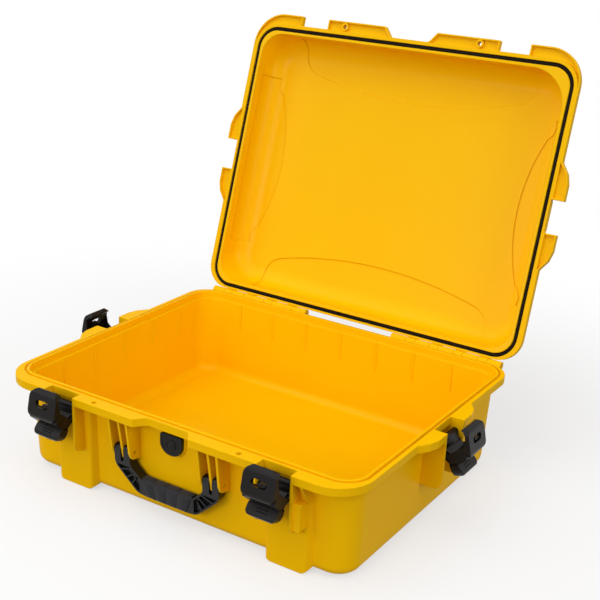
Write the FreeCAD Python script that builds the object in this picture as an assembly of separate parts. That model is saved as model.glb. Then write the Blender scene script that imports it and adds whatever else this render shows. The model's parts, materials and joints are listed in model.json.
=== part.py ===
import FreeCAD, Part
import math
import os

os.makedirs("parts", exist_ok=True)
V = FreeCAD.Vector

# The case stands on z = 0, its handle side faces -Y, its long side runs along X.
# All sizes are in millimetres and all angles in degrees.

# Case body
seal_length = 576.0
seal_width = 456.6
seal_radius = 34.0
rim_height = 152.5
foot_height = 4.0
wall = 4.0
wall_inset = 4.0
draft_angle = 1.6
corner_radius_rim = 34.0
corner_radius_floor = 38.0
bottom_edge_radius = 14.0
floor_edge_radius = 14.0

# Flange that runs round the rim of both shells
flange_height = 12.0
flange_skin = 3.5
flange_top = 4.0
flange_side = 11.5
flange_front = 9.5
flange_back = 6.7
flange_front_radius = 55.0
flange_back_radius = 40.0
flange_edge = 1.0
small_radius = 1.0

# Tabs of the flange beside the latches
front_tab_reach = 26.2
side_tab_reach = 27.5
tab_inner_end = 48.0
tab_slant = 13.0
tab_slant_radius = 9.0
tab_corner_radius = 3.0
side_tab_length = 26.0
side_tab_taper = 32.0
side_tab_step = 4.5
tab_rim = 2.5
tab_recess = 5.0
side_pocket_depth = 20.5

# Sealing rim
lip_inset = 2.5
lip_width = 4.0
lip_rise = 1.2
lip_edge = 1.0
groove_width = 3.5
groove_depth = 3.0
ledge_drop = 10.0
slit_length = 44.0
slit_depth = 9.0
slit_offset = 57.0
slit_width = 2.2
seam_gap = 0.3

# Lid
lid_depth = 56.0
lid_flange_height = 10.0
lid_draft_angle = 4.0
lid_corner_radius_rim = 42.0
lid_corner_radius_top = 66.0
lid_edge_radius = 34.0
pad_step = 1.4
pad_front_share = 0.75
pad_side_share = 0.65
pad_bulge_front = 88.0
pad_bulge_side = 62.0
pad_end_drop = 30.0
pad_end_shares = ((0.33, 1.15), (1.0, 0.8))
pad_clear_height = 16.0

# Gasket
gasket_width = 6.2
gasket_height = 4.6
gasket_crown = 2.4
gasket_slot_clearance = 0.15

# Buttresses that carry the feet, hollow from below
buttress_half_width = 30.5
buttress_flare = 8.0
buttress_proud = 11.0
buttress_shift = 9.0
buttress_radius = 5.0
buttress_skin = 3.5
foot_edge = 1.5
foot_corner_radius = 20.0
middle_foot_radius = 24.0

# Short ribs inside the base, under the ledge
end_rib_pitch = 71.0
back_rib_pitch = 68.0
inner_rib_radius = 1.6
inner_rib_length = 46.0
end_rib_pairs = 2
back_rib_pairs = 3

# Latch bays, each in the frame of its own tab: outward distance and height
latch_offset = 183.5
latch_gap = 52.0
latch_rib = 4.0
latch_rib_drop = 86.5
latch_rib_round = 14.0
latch_rib_reach = 40.0
rib_setback = 0.3
column_width = 11.0
column_drop = 40.5
column_height = 42.0
column_setback = 4.0
column_corner_radius = 6.0
web_thickness = 3.0

# Latches
pin_radius = 2.5
fit_clearance = 0.05
lever_pivot_out = -12.5
lever_pivot_drop = 19.5
claw_pivot_drop = 14.0
claw_pivot_shift = 0.5
lever_open_angle = 20.0
claw_open_angle = 68.0
latch_side_clearance = 0.4

# Claw: outline points as shares of the distance from its pivot to its hook
claw_hub_radius = 6.0
claw_side_wall = 3.5
claw_nose = 3.2
claw_nose_drop = 1.9
claw_rest_clearance = 0.3
claw_chin_shares = (0.53, 0.79, 0.20)
claw_brow_shares = (-0.13, 1.17, 0.13)
claw_front_shares = ((0.526, 0.27, 0.065), claw_chin_shares, claw_brow_shares)
claw_back_shares = ((-0.10, 1.0, 0.06), (0.41, 0.70, 0.10), (0.42, 0.27, 0.02))
claw_nose_share = 1.12
claw_nose_edge_share = 0.05
claw_side_shares = ((-0.065, -0.13, 0.06), (0.526, 0.27, 0.065), claw_chin_shares, (0.0, 1.085, 0.10),
                    (-0.05, 1.0, 0.02), (0.17, 0.72, 0.10), (0.13, 0.11, 0.10), (0.0, 0.11, 0.02),
                    (-0.065, 0.0, 0.02))
claw_corner_radius = 15.0
claw_chin_radius = 14.0
claw_chin_margin = 4.2
claw_skin = 6.6

# Window in the claw's slanted face and the slide lock that runs in it
window_width = 24.0
window_height = 11.0
window_rise = 12.0
window_radius = 5.0
lock_length = 12.0
lock_inset = 2.2
lock_height = 6.0
lock_clearance = 0.3
lock_sink = 2.4
lock_edge = 1.0
lock_plate = 3.0
lock_plate_margin = 2.2
rail = 2.0
rail_lip = 1.4

# Lever: outline points as shares of its drop below its pivot
lever_hub_radius = 5.5
lever_drop = 53.0
lever_tab_width = 47.0
lever_tab_radius = 13.0
lever_tip_half = 11.0
lever_tip_rise = 3.0
lever_tip_radius = 12.0
lever_shoulder_share = 0.6
lever_tab_shares = ((-0.094, -0.28, 0.04), (0.13, -0.60, 0.15), (0.18, -0.96, 0.055), (0.32, -0.99, 0.075),
                    (0.48, -0.92, 0.055), (0.47, -0.83, 0.055), (0.36, -0.58, 0.23), (0.255, -0.34, 0.15),
                    (0.09, -0.18, 0.055))
lever_web_shares = ((-0.085, 0.0, 0.02), (-0.095, -0.30, 0.04), (0.122, -0.34, 0.04), (0.094, 0.0, 0.02))
lever_ridge_radius = 1.3
lever_ridge_half = 8.5
lever_ridge_count = 3
lever_ridge_shares = ((0.445, -0.80), (0.38, -0.66))

# Catch ridge on the lid that the claw's hook grips
ridge_width = 2.6
ridge_height = 2.5
ridge_length = 46.0

# Padlock holes
padlock_radius = 3.6
padlock_offset = 124.0
padlock_setback = 9.0
padlock_boss = 3.0

# Ribs that carry the handle
handle_rib_pitch = 16.0
handle_rib_offset = 77.0
handle_rib = 4.0
handle_pivot_depth = 19.0
handle_pivot_drop = 61.5
handle_boss_radius = 9.5
handle_rib_front = 2.0
middle_rib_step = 4.0

# Carrying handle: outline points as shares of its half width and of its drop
handle_lean = 4.0
handle_thickness = 14.0
handle_drop = 61.0
handle_top = 7.5
handle_top_radius = 6.5
handle_side_clearance = 0.5
handle_slot_depth = 17.0
handle_outer_shares = ((1.0, 0.62, 0.30), (0.57, 0.03, 0.36), (0.28, 0.0, 0.10))
handle_inner_share = 0.69
handle_inner_radius = 14.0
handle_end_radius = 2.0
handle_grip_half = 45.0
handle_grip_taper = 12.0
handle_grip_height = 26.0
handle_grip_extra = 1.6
handle_grip_radius = 6.5
handle_grip_inner_radius = 8.0
handle_core = 4.0
handle_core_radius = 1.5
handle_pocket_depth = 4.5
handle_pocket_wall = 2.6
handle_pocket_top = 22.0
handle_cross_rib = 2.0
handle_cross_ribs = 3
handle_cross_tilt = 18.0
handle_cross_step = 11.0

# Return springs of the handle, each in a recess of an outer prong
spring_wire_radius = 0.6
spring_radius = 3.8
spring_pitch = 1.9
spring_turns = 2.5
spring_clearance = 0.6

# Pressure valve
valve_width = 38.0
valve_height = 31.0
valve_round_share = 0.46
valve_corner_radius = 4.0
valve_drop = 34.5
valve_cover_depth = 5.0
valve_cover_skin = 1.6
valve_cover_clearance = 0.3
valve_boss_margin = 3.0
valve_boss_step = 1.0
valve_stem_radius = 8.0
valve_stem_wall = 2.0
valve_flange_radius = 13.0
valve_flange = 2.6
valve_seat_wall = 2.5
valve_nut_radius = 15.0
valve_nut_sides = 6
valve_nut = 5.0
valve_ring_radius = 0.9
valve_ring_offset = 2.5
valve_membrane = 1.0

# Hinge
hinge_axis_out = 13.7
hinge_axis_drop = 2.5
hinge_open_angle = 107.0
knuckle_radius = 7.0
knuckle_clearance = 0.6
knuckle_gap = 0.5
lid_knuckle_width = 15.6
lid_knuckle_first = 118.4
lid_knuckle_pitch = 42.4
lid_knuckle_count = 4
hinge_slot_half = 83.0
hinge_end = 277.0
hinge_pin_radius = 2.0
hinge_pin_setback = 1.0
hinge_gusset = 16.0

overrun = 5.0

# Lengths worked out from the sizes above
half_x = seal_length / 2
half_y = seal_width / 2
wall_x = half_x - wall_inset
wall_y = half_y - wall_inset
lip_out = lip_width - lip_inset
lid_face = rim_height + seam_gap
lid_flange_top = lid_face + lid_flange_height
lid_top = lid_face + lid_depth
hinge_y = half_y + hinge_axis_out
hinge_z = rim_height - hinge_axis_drop
front_tab_y = half_y + front_tab_reach
side_tab_x = half_x + side_tab_reach
draft = math.tan(math.radians(draft_angle))
lid_draft = math.tan(math.radians(lid_draft_angle))
rib_top = rim_height - flange_top / 2
shoulder_low = rim_height - ledge_drop - wall
touch = fit_clearance / 10
lever_pivot_height = rim_height - lever_pivot_drop
latch_rib_bottom = rim_height - latch_rib_drop
column_top = rim_height - column_drop
column_bottom = column_top - column_height
handle_pivot_height = rim_height - handle_pivot_drop
valve_centre_height = rim_height - valve_drop
claw_pivot_out = lever_pivot_out + claw_pivot_shift
claw_pivot_height = lever_pivot_height - claw_pivot_drop
window_bottom = claw_pivot_height + window_rise
latch_half = latch_gap / 2
claw_half = latch_half - 2 * latch_side_clearance
lever_half = claw_half - claw_side_wall - latch_side_clearance
hook_height = lid_flange_top + ridge_height + claw_rest_clearance
claw_length = hook_height - claw_pivot_height
nose_out = -side_pocket_depth - ridge_width - claw_rest_clearance - claw_nose
chin_out, chin_up = claw_chin_shares[:2]
brow_out, brow_up = claw_brow_shares[:2]
claw_face_turn = math.atan2(chin_out - brow_out, brow_up - chin_up)
face_run = chin_out * math.cos(claw_face_turn) + chin_up * math.sin(claw_face_turn)
claw_face_out = claw_pivot_out + claw_length * face_run
claw_skin_inside = claw_face_out - claw_skin
chin_run = chin_up * math.cos(claw_face_turn) - chin_out * math.sin(claw_face_turn)
claw_chin_low = claw_pivot_height + claw_length * chin_run - claw_chin_margin
nose_rise = claw_nose_share * claw_length * math.cos(claw_face_turn)
claw_top = claw_pivot_height + nose_rise + (claw_pivot_out - nose_out) * math.sin(claw_face_turn)
handle_pivot_y = handle_pivot_depth - front_tab_y
valve_face = -wall_y - valve_boss_step
valve_back = wall - wall_y + draft * (rim_height - valve_centre_height + valve_height)


# Plane figures and plates

def inset(corners, distance):
    """Corner list of a counter-clockwise outline moved inwards by a distance."""
    result = []
    count = len(corners)
    for i in range(count):
        x, y, radius = corners[i]
        here = V(x, y, 0)
        a = here - V(corners[i - 1][0], corners[i - 1][1], 0)
        b = V(corners[(i + 1) % count][0], corners[(i + 1) % count][1], 0) - here
        a.normalize()
        b.normalize()
        turn = a.x * b.y - a.y * b.x
        along = distance * (1 - a.dot(b)) / turn
        spot = here + V(-a.y, a.x, 0) * distance - a * along
        if radius > 0:
            radius = max(radius - distance, 0) if turn > 0 else radius + distance
        result.append((spot.x, spot.y, radius))
    return result


def outline(corners, z=0):
    """Closed wire through corners (x, y, radius), each rounded by its own radius."""
    entries = []
    count = len(corners)
    for i in range(count):
        x, y, radius = corners[i]
        here = V(x, y, z)
        back = V(corners[i - 1][0], corners[i - 1][1], z) - here
        ahead = V(corners[(i + 1) % count][0], corners[(i + 1) % count][1], z) - here
        back.normalize()
        ahead.normalize()
        if radius > 0:
            half = back.getAngle(ahead) / 2
            reach = radius / math.tan(half)
            middle = back + ahead
            middle.normalize()
            centre = here + middle * (radius / math.sin(half))
            entries.append((here + back * reach, centre - middle * radius, here + ahead * reach))
        else:
            entries.append((here, None, here))
    edges = []
    for i in range(count):
        start, middle, end = entries[i]
        if middle is not None:
            edges.append(Part.Arc(start, middle, end).toShape())
        following = entries[(i + 1) % count][0]
        if end.distanceToPoint(following) > touch:
            edges.append(Part.LineSegment(end, following).toShape())
    return Part.Wire(edges)


def counter_clockwise(corners):
    """The same corners, reversed when they run clockwise."""
    area = 0
    for i in range(len(corners)):
        area += corners[i - 1][0] * corners[i][1] - corners[i][0] * corners[i - 1][1]
    return corners if area > 0 else corners[::-1]


def prism(corners, low, high):
    """Upright plate between two heights."""
    return Part.Face(outline(corners, low)).extrude(V(0, 0, high - low))


def plate_x(corners, left, right):
    """Plate whose outline is given as (y, z, radius), spanning from left to right along X."""
    shape = prism(counter_clockwise(corners), left, right)
    shape.Placement = FreeCAD.Placement(V(0, 0, 0), FreeCAD.Rotation(V(1, 1, 1), 120))
    return shape


def plate_y(corners, front, back):
    """Plate whose outline is given as (x, z, radius), spanning from front to back along Y."""
    shape = prism(counter_clockwise(corners), -back, -front)
    shape.Placement = FreeCAD.Placement(V(0, 0, 0), FreeCAD.Rotation(V(1, 0, 0), 90))
    return shape


def rectangle(reach_x, reach_y, radius):
    """Corners of a rectangle about the middle of the case."""
    return [(reach_x, -reach_y, radius), (reach_x, reach_y, radius),
            (-reach_x, reach_y, radius), (-reach_x, -reach_y, radius)]


def seal_plate(reach, low, high):
    """Plate whose edge runs at a set distance outside the seal line."""
    return prism(rectangle(half_x + reach, half_y + reach, seal_radius + reach), low, high)


def ring(reach_in, reach_out, low, high):
    """Band between two lines that run round at set distances outside the seal line."""
    return seal_plate(reach_out, low, high).cut(seal_plate(reach_in, low - overrun, high + overrun))


def box(x0, x1, y0, y1, z0, z1):
    """Plain block between two opposite corners."""
    return Part.makeBox(x1 - x0, y1 - y0, z1 - z0, V(x0, y0, z0))


def panel(half_width, low, high, radius):
    """Corners of an upright rectangle about x = 0, as (x, z, radius)."""
    return [(-half_width, low, radius), (half_width, low, radius),
            (half_width, high, radius), (-half_width, high, radius)]


def rod_x(radius, left, right, y, z):
    """Round bar along X."""
    return Part.makeCylinder(radius, right - left, V(left, y, z), V(1, 0, 0))


def rod_y(radius, front, back, x, z):
    """Round bar along Y."""
    return Part.makeCylinder(radius, back - front, V(x, front, z), V(0, 1, 0))


def rod_z(radius, x, y, low, high):
    """Round bar along Z."""
    return Part.makeCylinder(radius, high - low, V(x, y, low))


def turned(shape, angle, pivot, axis):
    """Copy of a shape turned about an axis through a pivot."""
    copy = shape.copy()
    copy.rotate(pivot, axis, angle)
    return copy


def moved(shape, x, y, z):
    """Copy of a shape at another place."""
    copy = shape.copy()
    copy.translate(V(x, y, z))
    return copy


def mirrored_x(shape):
    """Copy of a shape on the other side of the case's middle plane."""
    return shape.mirror(V(0, 0, 0), V(1, 0, 0))


def joined(shapes):
    """Single solid out of several that touch or overlap."""
    return shapes[0].multiFuse(shapes[1:]).removeSplitter()


def upright_edges(shape):
    """Edges that run mostly along Z."""
    picked = []
    for edge in shape.Edges:
        ends = edge.Vertexes
        if len(ends) == 2 and abs(ends[0].Z - ends[1].Z) > edge.Length / 2:
            picked.append(edge)
    return picked


def edges_at(shape, axis, place):
    """Edges that lie wholly in one plane across an axis."""
    picked = []
    for edge in shape.Edges:
        bounds = edge.BoundBox
        low = {"x": bounds.XMin, "y": bounds.YMin, "z": bounds.ZMin}[axis]
        high = {"x": bounds.XMax, "y": bounds.YMax, "z": bounds.ZMax}[axis]
        if abs(low - place) < touch and abs(high - place) < touch:
            picked.append(edge)
    return picked


def save(name, shape):
    """Write one piece and say how large it is."""
    if not shape.isValid():
        print("not valid:", name)
    shape.exportStep("parts/" + name + ".step")
    size = shape.BoundBox
    print(name, len(shape.Solids), round(shape.Volume / 1000, 2),
          round(size.XLength, 1), round(size.YLength, 1), round(size.ZLength, 1))


# Shell forms

def tapered_box(reach_x, reach_y, low, high, low_inset, high_inset, low_radius, high_radius):
    """Box with rounded upright corners whose radius changes with height."""
    wires = []
    for height, shrink in ((low, low_inset), (high, high_inset)):
        x = reach_x - shrink
        y = reach_y - shrink
        wires.append(Part.makePolygon([V(x, -y, height), V(x, y, height), V(-x, y, height),
                                       V(-x, -y, height), V(x, -y, height)]))
    body = Part.makeLoft(wires, True, True)
    for edge in upright_edges(body):
        spot = edge.CenterOfMass
        match = [e for e in upright_edges(body)
                 if e.CenterOfMass.x * spot.x > 0 and e.CenterOfMass.y * spot.y > 0][0]
        rising = match.firstVertex(True).Z < (low + high) / 2
        radii = (low_radius, high_radius) if rising else (high_radius, low_radius)
        body = body.makeFillet(radii[0], radii[1], [match])
    return body


def base_form(thickness):
    """Outer form of the base, or its hollow when a wall thickness is given."""
    low = foot_height + thickness
    form = tapered_box(wall_x - thickness, wall_y - thickness, low, rim_height,
                       draft * (rim_height - low), 0,
                       corner_radius_floor - thickness, corner_radius_rim - thickness)
    edge = bottom_edge_radius if thickness == 0 else floor_edge_radius
    return form.makeFillet(edge, edges_at(form, "z", low))


def lid_form(thickness):
    """Outer form of the lid, or its hollow when a wall thickness is given."""
    high = lid_top - thickness
    form = tapered_box(wall_x - thickness, wall_y - thickness, lid_face, high,
                       0, lid_draft * (high - lid_face),
                       lid_corner_radius_rim - thickness, lid_corner_radius_top - thickness)
    return form.makeFillet(lid_edge_radius - thickness, edges_at(form, "z", high))


def flange_corners():
    """Outline of the rim flange with its tabs and latch gaps, counter-clockwise."""
    recess = half_y + flange_front
    side = half_x + flange_side
    gap_in = latch_offset - latch_half
    gap_out = latch_offset + latch_half
    pocket = side_tab_x - side_pocket_depth
    tab_long = latch_half + side_tab_length
    right = [(tab_inner_end - tab_slant, -recess, tab_slant_radius),
             (tab_inner_end, -front_tab_y, tab_corner_radius),
             (gap_in, -front_tab_y, small_radius),
             (gap_in, -recess, small_radius),
             (gap_out, -recess, small_radius),
             (gap_out, -front_tab_y, small_radius),
             (side, -front_tab_y, flange_front_radius),
             (side, -tab_long - side_tab_taper, tab_corner_radius),
             (side_tab_x - side_tab_step, -tab_long - side_tab_taper / 2, side_tab_step),
             (side_tab_x, -tab_long, side_tab_step),
             (side_tab_x, -latch_half, small_radius),
             (pocket, -latch_half, small_radius)]
    back_half = [(x, -y, r) for x, y, r in reversed(right[7:])]
    back = half_y + flange_back
    right = right + back_half + [(side, back, flange_back_radius)]
    left = [(-x, y, r) for x, y, r in reversed(right)]
    return right + left


def flange_plate(low, high):
    """Flange outline as a plate with softened upper and lower edges."""
    plate = prism(flange_corners(), low, high)
    return plate.makeFillet(flange_edge / 2, edges_at(plate, "z", low) + edges_at(plate, "z", high))


def knuckle_spans():
    """Ranges along X of the lid's and of the base's hinge knuckles, on the right half."""
    lid_spans = []
    base_spans = []
    edge = hinge_slot_half
    for i in range(lid_knuckle_count):
        centre = lid_knuckle_first + i * lid_knuckle_pitch
        lid_spans.append((centre - lid_knuckle_width / 2, centre + lid_knuckle_width / 2))
        base_spans.append((edge, lid_spans[-1][0] - knuckle_gap))
        edge = lid_spans[-1][1] + knuckle_gap
    base_spans.append((edge, hinge_end))
    return lid_spans, base_spans


def both_sides(spans):
    """The given ranges and their mirror images."""
    return spans + [(-b, -a) for a, b in spans]


def hinge_bores():
    """Bores of the hinge pins."""
    bores = []
    for left, right in both_sides([(hinge_slot_half - overrun, hinge_end + overrun)]):
        bores.append(rod_x(hinge_pin_radius + fit_clearance, left, right, hinge_y, hinge_z))
    return bores


def knuckle_cuts(spans):
    """Round clearances for the other shell's knuckles."""
    radius = knuckle_radius + knuckle_clearance
    return [rod_x(radius, left - knuckle_gap, right + knuckle_gap, hinge_y, hinge_z)
            for left, right in both_sides(spans)]


def padlock_rods(radius, low, high):
    """Upright rods on the axes of the two padlock holes."""
    y = padlock_setback - front_tab_y
    return [rod_z(radius, side * padlock_offset, y, low, high) for side in (-1, 1)]


def latch_places():
    """Name, turn about Z and tab face position of each latch."""
    return [("front_left", 0, -latch_offset, -front_tab_y),
            ("front_right", 0, latch_offset, -front_tab_y),
            ("right", 90, side_tab_x, 0),
            ("left", -90, -side_tab_x, 0)]


def placed(shape, turn, x, y):
    """Shape from the latch frame, set at its tab."""
    return moved(turned(shape, turn, V(0, 0, 0), V(0, 0, 1)), x, y, 0)


def latch_plate(corners, left, right):
    """Plate in the latch frame with its outline given as (outward, height, radius)."""
    return plate_x([(-out, height, radius) for out, height, radius in corners], left, right)


def scaled(shares, size, out, height):
    """Outline points given as shares of a size, set about a pivot."""
    return [(out + a * size, height + b * size, c * size) for a, b, c in shares]


# Base shell

def base_flange(body, shoulder):
    """Rim flange of the base, hollow from below."""
    low = rim_height - flange_height
    hollow = prism(inset(flange_corners(), flange_skin), low - overrun, rim_height - flange_top)
    return flange_plate(low, rim_height).cut(hollow.cut([body, shoulder]))


def pillar(x, skin):
    """Pillar that carries one foot on the front, or its hollow when a skin is given."""
    wires = []
    top = shoulder_low if skin else rim_height - flange_top
    bottom = -overrun if skin else 0
    wide = buttress_half_width + buttress_flare - skin
    narrow = buttress_half_width - skin
    at_floor = wall_y - draft * rim_height
    root = at_floor - wall
    for height in (bottom, top):
        face = at_floor + buttress_proud - skin + draft * height
        back = at_floor + rib_setback + draft * height if skin else root
        wires.append(outline([(x - wide, -back, 0), (x - narrow, -face, buttress_radius - skin),
                              (x + narrow, -face, buttress_radius - skin), (x + wide, -back, 0)], height))
    return Part.makeLoft(wires, True, True)


def front_and_back(shape):
    """A shape on the front and its copy turned to the back."""
    return [shape, turned(shape, 180, V(0, 0, 0), V(0, 0, 1))]


def buttresses():
    """Pillars with their feet, on the front and on the back."""
    shapes = []
    for side in (-1, 1):
        x = side * latch_offset + buttress_shift
        solid = pillar(x, 0)
        sole = [e for e in edges_at(solid, "z", 0) if e.BoundBox.YMin < -wall_y]
        wide = panel(buttress_half_width + buttress_flare, 0, rim_height, foot_corner_radius)
        room = moved(plate_y(wide, -half_y - latch_gap, 0), x, 0, 0)
        shapes = shapes + front_and_back(solid.makeFillet(foot_edge, sole).common(room))
    return shapes


def buttress_pockets():
    """Hollows of the pillars, open below."""
    shapes = []
    for side in (-1, 1):
        x = side * latch_offset + buttress_shift
        shapes = shapes + front_and_back(pillar(x, buttress_skin))
    return shapes


def latch_bay(column_side):
    """Ribs that flank one latch, in the latch frame; column_side is -1, 0 or 1."""
    profile = [(-latch_rib_reach, rib_top, 0), (-latch_rib_reach, latch_rib_bottom, 0),
               (-rib_setback, latch_rib_bottom, latch_rib_round), (-rib_setback, rib_top, 0)]
    pieces = [latch_plate(profile, latch_half, latch_half + latch_rib),
              latch_plate(profile, -latch_half - latch_rib, -latch_half)]
    if column_side:
        near = latch_half + latch_rib / 2
        far = latch_half + latch_rib + column_width
        block = [(-latch_rib_reach, column_top, 0), (-latch_rib_reach, column_bottom, 0),
                 (-column_setback, column_bottom, column_setback),
                 (-column_setback, column_top, small_radius)]
        web = [(-latch_rib_reach, rib_top, 0), (-latch_rib_reach, column_top - column_setback, 0),
               (-latch_rib_reach / 2, column_top - column_setback, latch_rib_round),
               (-rib_setback, rim_height - flange_height, latch_rib_round), (-rib_setback, rib_top, 0)]
        front = plate_y([(near, column_bottom, 0), (far, column_bottom, column_corner_radius),
                         (far, column_top, 0), (near, column_top, 0)], 0, latch_rib_reach)
        extra = [latch_plate(block, near, far).common(front),
                 latch_plate(web, far - web_thickness / 2, far + web_thickness)]
        if column_side < 0:
            extra = [mirrored_x(piece) for piece in extra]
        pieces = pieces + extra
    reach = latch_half + latch_rib + overrun
    bore = rod_x(pin_radius + fit_clearance, -reach, reach, -lever_pivot_out, lever_pivot_height)
    return joined(pieces).cut(bore)


def handle_ribs():
    """Three ribs on each side that hold the handle's pins."""
    root = wall - wall_y
    front = handle_rib_front - front_tab_y
    low = handle_pivot_height - handle_boss_radius
    shelf = rim_height - flange_height
    outer = [(root, rib_top, 0), (front, rib_top, 0), (front, shelf, 0),
             (handle_pivot_y - handle_boss_radius, handle_pivot_height, handle_boss_radius),
             (handle_pivot_y - handle_boss_radius / 2, low, handle_boss_radius / 2),
             (root, low - middle_rib_step, 0)]
    slim = handle_boss_radius - middle_rib_step
    tip = front + handle_rib_front
    middle = [(root, rib_top, 0), (tip, rib_top, 0), (tip, shelf, 0),
              (handle_pivot_y - slim, handle_pivot_height, slim),
              (handle_pivot_y - slim / 2, low - middle_rib_step, slim / 2), (root, low - middle_rib_step, 0)]
    ribs = []
    for side in (-1, 1):
        for step in (-1, 0, 1):
            x = side * handle_rib_offset + step * handle_rib_pitch
            ribs.append(plate_x(outer if step else middle, x - handle_rib / 2, x + handle_rib / 2))
    return ribs


def handle_pin_rods(radius, reach):
    """Rods on the handle's pivot line, one on each side."""
    return [rod_x(radius, side * handle_rib_offset - reach, side * handle_rib_offset + reach,
                  handle_pivot_y, handle_pivot_height) for side in (-1, 1)]


def valve_outline(margin):
    """Shield shape of the valve: flat top and round bottom."""
    half = valve_width / 2 + margin
    top = valve_centre_height + valve_height / 2 + margin
    low = valve_centre_height - valve_height / 2 - margin
    rounding = 2 * half * valve_round_share
    return [(-half, low, rounding), (half, low, rounding), (half, top, valve_corner_radius),
            (-half, top, valve_corner_radius)]


def base_knuckles():
    """Base half of the hinge: knuckles, each with a block that ties it to the flange."""
    low = hinge_z - knuckle_radius
    inner = half_y + lip_out - small_radius
    pieces = []
    for left, right in both_sides(knuckle_spans()[1]):
        block = [(inner, rim_height - small_radius, 0), (inner, low - hinge_gusset, 0),
                 (hinge_y - knuckle_radius, low, 0), (hinge_y, low, 0),
                 (hinge_y, hinge_z, 0), (half_y + flange_back, rim_height - small_radius, 0)]
        pieces.append(plate_x(block, left, right))
        pieces.append(rod_x(knuckle_radius, left, right, hinge_y, hinge_z))
    web = [(wall_y - wall, rim_height - ledge_drop, 0), (wall_y - wall, low - 2 * hinge_gusset, 0),
           (inner, low - hinge_gusset, 0), (inner, rim_height - ledge_drop, 0)]
    for left, right in both_sides(knuckle_spans()[1]):
        for x in (left + handle_rib, right - handle_rib):
            pieces.append(plate_x(web, x - web_thickness / 2, x + web_thickness / 2))
    return pieces


def inner_ribs():
    """Short half-round ribs under the ledge, on both ends and on the back."""
    top = rim_height - ledge_drop
    low = top - inner_rib_length
    inside_x = wall_x - wall - draft * (rim_height - low)
    inside_y = wall_y - wall - draft * (rim_height - low)
    ribs = []
    for i in range(-end_rib_pairs, end_rib_pairs + 1):
        for side in (-1, 1):
            ribs.append(Part.makeCylinder(inner_rib_radius, inner_rib_length,
                                          V(side * inside_x, i * end_rib_pitch, low), V(side * draft, 0, 1)))
    for i in range(-back_rib_pairs, back_rib_pairs + 1):
        ribs.append(Part.makeCylinder(inner_rib_radius, inner_rib_length,
                                      V(i * back_rib_pitch, inside_y, low), V(0, draft, 1)))
    return ribs


def rim_cuts():
    """Ledge, groove, slits and hinge clearances of the base's rim."""
    cuts = [seal_plate(-lip_inset, rim_height - ledge_drop, rim_height + overrun),
            ring(lip_out, lip_out + groove_width, rim_height - groove_depth, rim_height + overrun)]
    slit_x = half_x + lip_out + groove_width - slit_width
    slit = box(slit_x, slit_x + slit_width, -slit_length / 2, slit_length / 2,
               rim_height - slit_depth, rim_height + overrun)
    for end in (-1, 1):
        cuts.append(moved(slit, 0, end * slit_offset, 0))
        cuts.append(mirrored_x(cuts[-1]))
    cuts = cuts + padlock_rods(padlock_radius, rim_height - flange_height - overrun, rim_height + overrun)
    return cuts + hinge_bores() + knuckle_cuts(knuckle_spans()[0])


def base_shell():
    """Moulded lower shell."""
    body = base_form(0)
    shoulder = seal_plate(lip_out, shoulder_low, rim_height)
    middle_foot = rod_z(middle_foot_radius, 0, 0, 0, foot_height + wall / 2)
    pieces = [body, shoulder, base_flange(body, shoulder), middle_foot] + buttresses()
    for name, turn, x, y in latch_places():
        column = {"front_left": -1, "front_right": 1}.get(name, 0)
        pieces.append(placed(latch_bay(column), turn, x, y))
    pieces = pieces + handle_ribs() + base_knuckles()
    pieces.append(plate_y(valve_outline(valve_boss_margin), valve_face, wall - wall_y))
    pieces = pieces + padlock_rods(padlock_radius + padlock_boss, rim_height - flange_height, rim_height)
    shell = joined(pieces).cut([base_form(wall)] + rim_cuts() + buttress_pockets())
    lip = ring(-lip_inset, lip_out, rim_height - lip_rise, rim_height + lip_rise)
    lip = lip.makeFillet(lip_edge, edges_at(lip, "z", rim_height + lip_rise))
    seat = rod_y(valve_nut_radius + small_radius, wall / 2 - wall_y, valve_back, 0, valve_centre_height)
    shell = shell.multiFuse([lip, seat] + inner_ribs())
    bores = handle_pin_rods(pin_radius + fit_clearance, handle_rib_pitch + handle_rib)
    bores.append(rod_y(valve_stem_radius + fit_clearance, valve_face - overrun, valve_back + overrun,
                       0, valve_centre_height))
    save("base_shell", shell.cut(bores))


# Lid shell, built closed and then opened about the hinge

def opened(shape):
    """Piece of the lid turned from closed to its open stop."""
    return turned(shape, -hinge_open_angle, V(0, hinge_y, hinge_z), V(1, 0, 0))


def lens(bulge, half, edge):
    """Outline of a shallow pad: straight along the edge of the lid, bowed on the inside."""
    tip = bulge - edge
    (near, deep), (far, shallow) = pad_end_shares
    foot = V(half, pad_end_drop - edge, 0)
    bend = V(half - near * pad_end_drop, tip - deep * pad_end_drop, 0)
    crown = V(half - far * pad_end_drop, tip - shallow * pad_end_drop, 0)
    low = V(half, -edge - overrun, 0)

    def other(point):
        return V(-point.x, point.y, 0)

    return Part.Wire([Part.LineSegment(low, foot).toShape(),
                      Part.Arc(foot, bend, crown).toShape(),
                      Part.Arc(crown, V(0, tip, 0), other(crown)).toShape(),
                      Part.Arc(other(crown), other(bend), other(foot)).toShape(),
                      Part.LineSegment(other(foot), other(low)).toShape(),
                      Part.LineSegment(other(low), low).toShape()])


def lens_pads():
    """The four pads as tall prisms, to be limited by the lid's inner and outer forms."""
    pads = []
    for turn in (0, 90, 180, 270):
        if turn % 180 == 0:
            figure = lens(pad_bulge_front, half_x * pad_front_share, half_y)
        else:
            figure = lens(pad_bulge_side, half_y * pad_side_share, half_x)
        shape = moved(Part.Face(figure).extrude(V(0, 0, lid_depth)), 0, 0, lid_face + pad_clear_height)
        pads.append(turned(shape, turn, V(0, 0, 0), V(0, 0, 1)))
    return pads


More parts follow.
